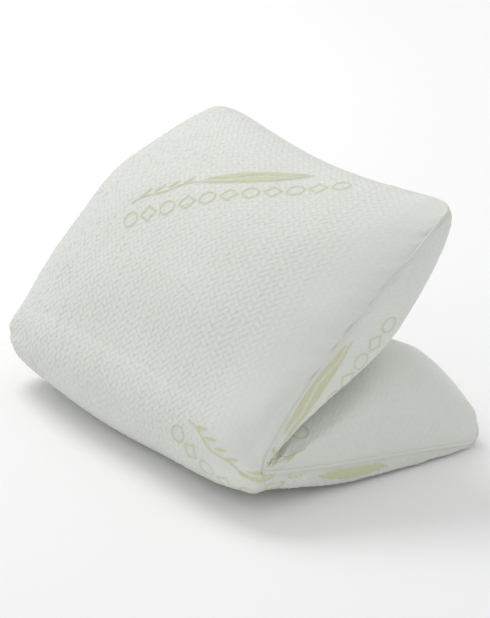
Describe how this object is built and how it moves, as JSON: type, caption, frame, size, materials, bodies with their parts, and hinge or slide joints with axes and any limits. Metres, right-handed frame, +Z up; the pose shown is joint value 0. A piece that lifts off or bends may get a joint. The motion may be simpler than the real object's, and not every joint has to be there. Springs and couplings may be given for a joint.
{
  "type": "bed pillow",
  "caption": "Soft bed pillow in a basket-weave knit cover, folded across its length: one half lies flat, the other is raised, and one end has a zip.",
  "frame": {"origin": "on the floor under the middle of the folded pillow, at the centre of the face it rests on", "axes": "+Z up, +Y along the fold, +X from the fold towards the open end"},
  "size_m": [0.36, 0.48, 0.3031],
  "materials": {
    "cover_knit": "raised basket weave knit, matt with a soft sheen",
    "seam_thread": "turned and stitched cloth bead",
    "liner_cloth": "plain thin cloth",
    "fill_foam": "shredded soft foam",
    "zip_tape": "woven tape",
    "zip_coil": "moulded nylon coil",
    "zip_metal": "light enamel"
  },
  "bodies": {
    "lower_half": {"cover_outer_lower": "cover_knit", "cover_inner_lower": "cover_knit", "seam_near": "seam_thread", "seam_far": "seam_thread", "liner_outer_lower": "liner_cloth", "liner_inner_lower": "liner_cloth", "fill_lower": "fill_foam", "zip_tape_upper": "zip_tape", "zip_tape_lower": "zip_tape", "zip_coil_upper": "zip_coil", "zip_coil_lower": "zip_coil", "zip_stop_near": "zip_metal", "zip_stop_far": "zip_metal"},
    "upper_half": {"cover_outer_upper": "cover_knit", "cover_inner_upper": "cover_knit", "seam_upper": "seam_thread", "liner_outer_upper": "liner_cloth", "liner_inner_upper": "liner_cloth", "fill_upper": "fill_foam"},
    "slider": {"zip_slider": "zip_metal"},
    "pull": {"zip_pull": "zip_metal"}
  },
  "joints": [
    {"name": "fold", "type": "hinge", "parent": "lower_half", "child": "upper_half", "pos_m": [-0.16844, 0, 0.04265], "axis": [0, -1, 0], "range_deg": [-6, 128]},
    {"name": "zip_slide", "type": "slide", "parent": "lower_half", "child": "slider", "axis": [0, -1, 0], "range_m": [0, 0.2326]},
    {"name": "pull_swing", "type": "hinge", "parent": "slider", "child": "pull", "pos_m": [0.18394, 0.1216, 0.054], "axis": [0, 0, 1], "range_deg": [0, 150]}
  ]
}
